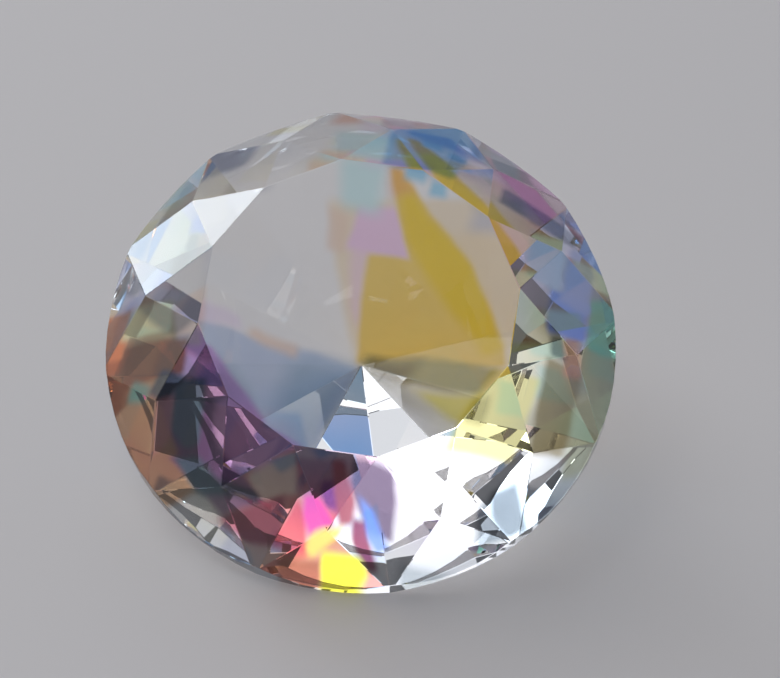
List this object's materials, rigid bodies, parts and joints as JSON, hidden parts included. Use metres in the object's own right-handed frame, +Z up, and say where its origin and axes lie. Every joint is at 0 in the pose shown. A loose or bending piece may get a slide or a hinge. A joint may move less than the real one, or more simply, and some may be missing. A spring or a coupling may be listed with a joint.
{
  "type": "faceted rainbow quartz stone",
  "caption": "Large round faceted stone of clear rainbow-coated quartz, with a flat table, a crown of kite facets and a low pointed back, lying on one back facet.",
  "frame": {"origin": "centre of the bounding box's underside, on the surface that the stone lies on", "axes": "+Z up, -Y the side that the table leans towards, +X to the right seen from -Y; the YZ plane is a mirror plane of the stone"},
  "size_m": [0.0392, 0.0348, 0.023],
  "materials": {
    "quartz": "clear polished quartz with a thin iridescent rainbow coat"
  },
  "bodies": {
    "root": {"quartz_stone": "quartz"}
  },
  "joints": []
}
